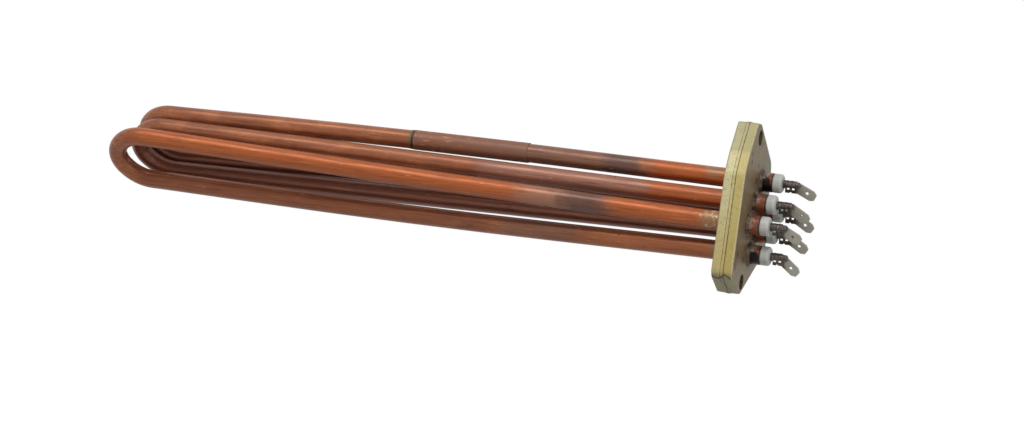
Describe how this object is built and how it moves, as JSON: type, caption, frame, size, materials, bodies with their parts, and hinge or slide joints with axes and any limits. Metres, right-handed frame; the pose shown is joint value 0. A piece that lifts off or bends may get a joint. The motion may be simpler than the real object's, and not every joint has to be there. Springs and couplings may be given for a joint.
{
  "type": "immersion heating element",
  "caption": "Flanged immersion heating element: copper-sheathed hairpins brazed through a forged brass bolt-on flange, with ceramic bushes and push-on tabs.",
  "frame": {"origin": "on the sealing face of the flange, midway between the two bolt holes", "axes": "-X out of the sealing face along the hairpins, +X toward the terminals, +Z along the line of the bolt holes toward the end with the larger tip, -Y the near side"},
  "size_m": [0.3368, 0.0536, 0.0747],
  "materials": {
    "forged_brass": "forged brass, pickled, speckled and flux-stained",
    "copper": "drawn copper, heat-tinted in places",
    "heating_wire": "resistance alloy, hidden",
    "magnesium_oxide": "compacted powder, hidden",
    "pin_steel": "steel, darkened by welding heat",
    "bush_ceramic": "unglazed white ceramic",
    "black_seal": "black sealing compound",
    "tab_plate": "nickel-plated steel, heat-tinted at the weld",
    "braze": "braze metal with flux residue"
  },
  "bodies": {
    "root": {"flange": "forged_brass", "sheath_back": "copper", "heating_coil_back": "heating_wire", "oxide_filling_back": "magnesium_oxide", "sheath_middle": "copper", "heating_coil_middle": "heating_wire", "oxide_filling_middle": "magnesium_oxide", "sheath_front": "copper", "heating_coil_front": "heating_wire", "oxide_filling_front": "magnesium_oxide", "terminal_pin_1": "pin_steel", "ceramic_bush_1": "bush_ceramic", "seal_ring_1": "black_seal", "push_on_tab_1": "tab_plate", "terminal_braze_1": "braze", "loop_braze_1": "braze", "terminal_pin_2": "pin_steel", "ceramic_bush_2": "bush_ceramic", "seal_ring_2": "black_seal", "push_on_tab_2": "tab_plate", "terminal_braze_2": "braze", "loop_braze_2": "braze", "terminal_pin_3": "pin_steel", "ceramic_bush_3": "bush_ceramic", "seal_ring_3": "black_seal", "push_on_tab_3": "tab_plate", "terminal_braze_3": "braze", "loop_braze_3": "braze", "terminal_pin_4": "pin_steel", "ceramic_bush_4": "bush_ceramic", "seal_ring_4": "black_seal", "push_on_tab_4": "tab_plate", "terminal_braze_4": "braze", "loop_braze_4": "braze", "terminal_pin_5": "pin_steel", "ceramic_bush_5": "bush_ceramic", "seal_ring_5": "black_seal", "push_on_tab_5": "tab_plate", "terminal_braze_5": "braze", "loop_braze_5": "braze", "terminal_pin_6": "pin_steel", "ceramic_bush_6": "bush_ceramic", "seal_ring_6": "black_seal", "push_on_tab_6": "tab_plate", "terminal_braze_6": "braze", "loop_braze_6": "braze", "joint_sleeve": "copper", "joint_braze": "braze"}
  },
  "joints": []
}
